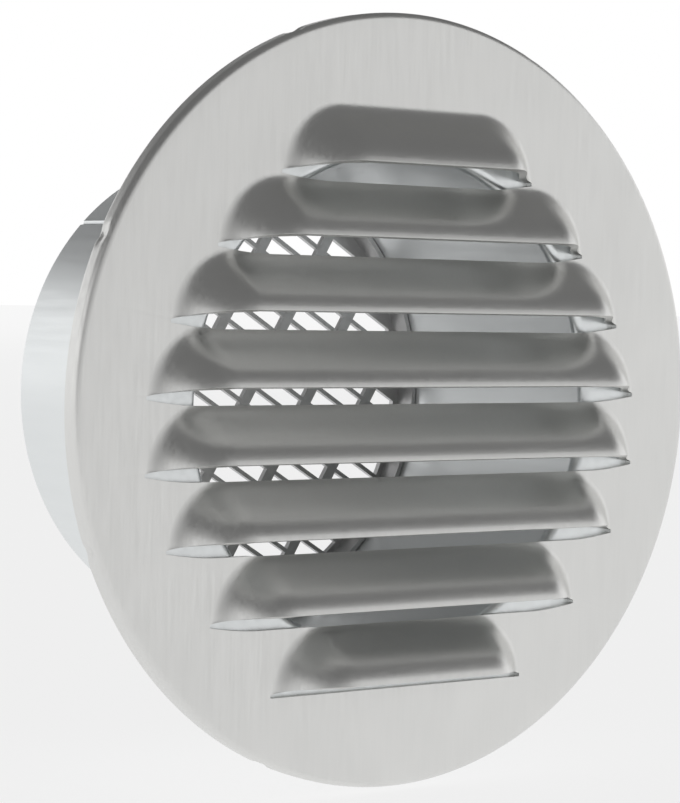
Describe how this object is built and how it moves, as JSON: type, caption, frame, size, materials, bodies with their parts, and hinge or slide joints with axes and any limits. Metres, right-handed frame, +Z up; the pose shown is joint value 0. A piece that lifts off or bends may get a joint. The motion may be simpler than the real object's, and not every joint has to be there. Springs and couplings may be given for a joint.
{
  "type": "round vent grille",
  "caption": "Round louvred wall vent: pressed face plate with hooded slots, flanged spigot collar behind and a slotted insect grid at its back end.",
  "frame": {"origin": "centre of the wall plane, which is the back of the face plate's turned-in edge, on the collar's axis", "axes": "+Y along the collar into the wall, the face looks to -Y, +Z up with the slots opening downwards, +X to the right as the face is looked at"},
  "size_m": [0.12, 0.0587, 0.12],
  "materials": {
    "face_sheet": "satin, faint upright grain",
    "collar_sheet": "smooth satin",
    "grid_sheet": "plain mill finish"
  },
  "bodies": {
    "root": {"face_plate": "face_sheet", "collar": "collar_sheet", "rear_grid": "grid_sheet"}
  },
  "joints": []
}
